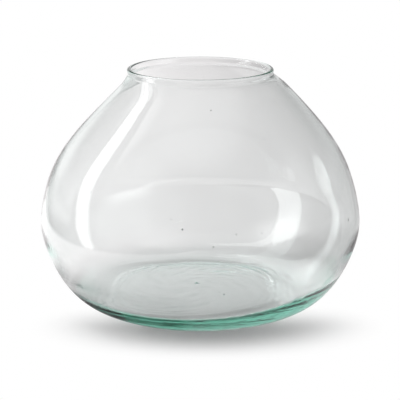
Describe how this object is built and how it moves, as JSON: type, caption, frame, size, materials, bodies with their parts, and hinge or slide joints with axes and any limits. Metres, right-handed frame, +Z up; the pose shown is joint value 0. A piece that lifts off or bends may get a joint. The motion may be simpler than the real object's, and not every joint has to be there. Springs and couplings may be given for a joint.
{
  "type": "rose bowl vase",
  "caption": "Squat round vase of clear, faintly green blown glass, with a wide sloping shoulder, a small round mouth with a rounded lip, and a thick base on a flat foot ring.",
  "frame": {"origin": "centre of the foot ring's resting face, on the surface that the vase stands on", "axes": "+Z up along the vase's axis of turning, towards the mouth; X and Y are level and interchangeable"},
  "size_m": [0.23, 0.23, 0.17],
  "materials": {
    "glass": "clear, polished, faint green tint"
  },
  "bodies": {
    "root": {"base": "glass", "bowl_wall": "glass", "lip_bead": "glass"}
  },
  "joints": []
}
